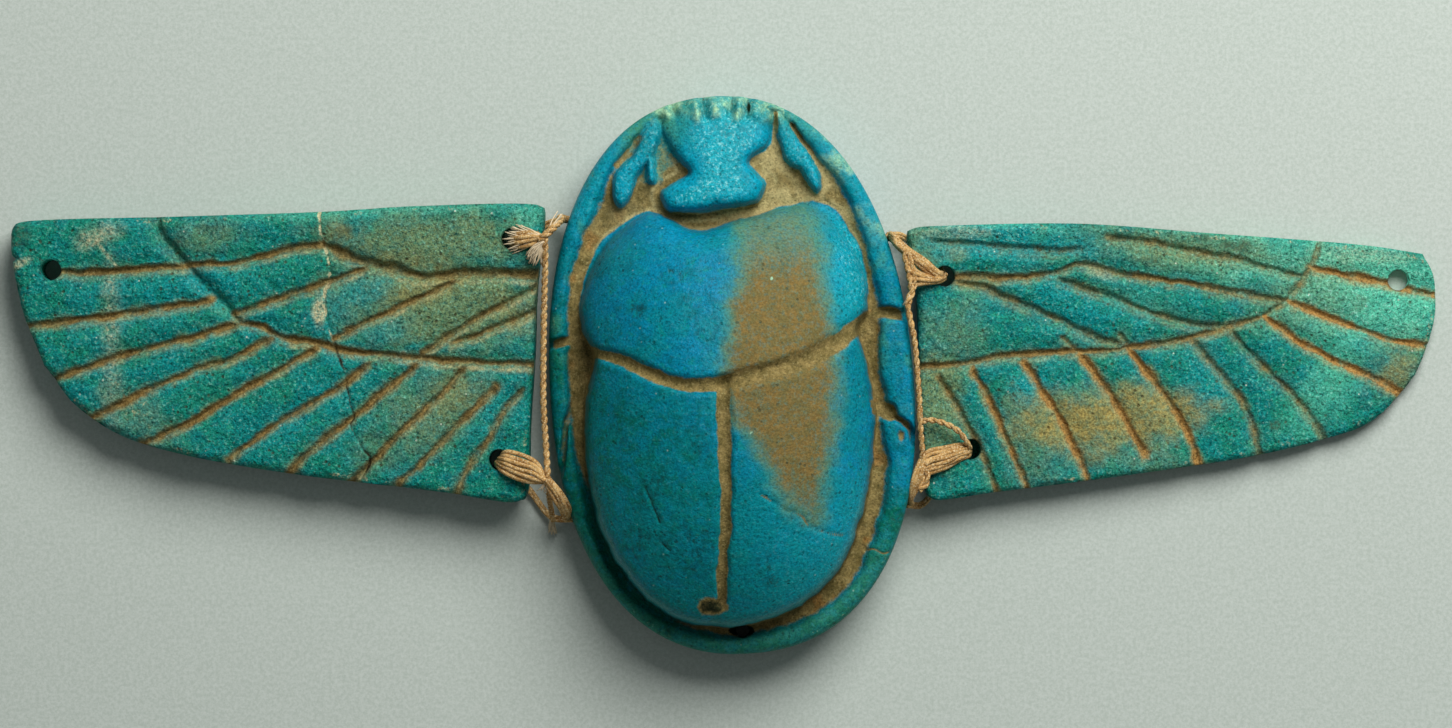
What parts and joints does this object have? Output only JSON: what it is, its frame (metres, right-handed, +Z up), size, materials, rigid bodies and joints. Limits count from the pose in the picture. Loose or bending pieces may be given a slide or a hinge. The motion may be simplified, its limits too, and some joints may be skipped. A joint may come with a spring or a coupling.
{
  "type": "winged scarab amulet",
  "caption": "Flat-backed carved beetle on an oval base, with two flat feathered wings tied to its sides by thread, for sewing to a cloth or lying on a surface.",
  "frame": {"origin": "middle of the beetle's flat underside, which lies on the surface", "axes": "+X towards the beetle's right as seen from above with its head up, along the wings; +Y towards its head; +Z up, out of its back"},
  "size_m": [0.1571, 0.0614, 0.0195],
  "materials": {
    "body_glaze": "satin",
    "wing_glaze": "satin, granular",
    "linen": "matt"
  },
  "bodies": {
    "root": {"scarab": "body_glaze", "left_wing": "wing_glaze", "right_wing": "wing_glaze", "left_thread": "linen", "right_thread": "linen"}
  },
  "joints": []
}
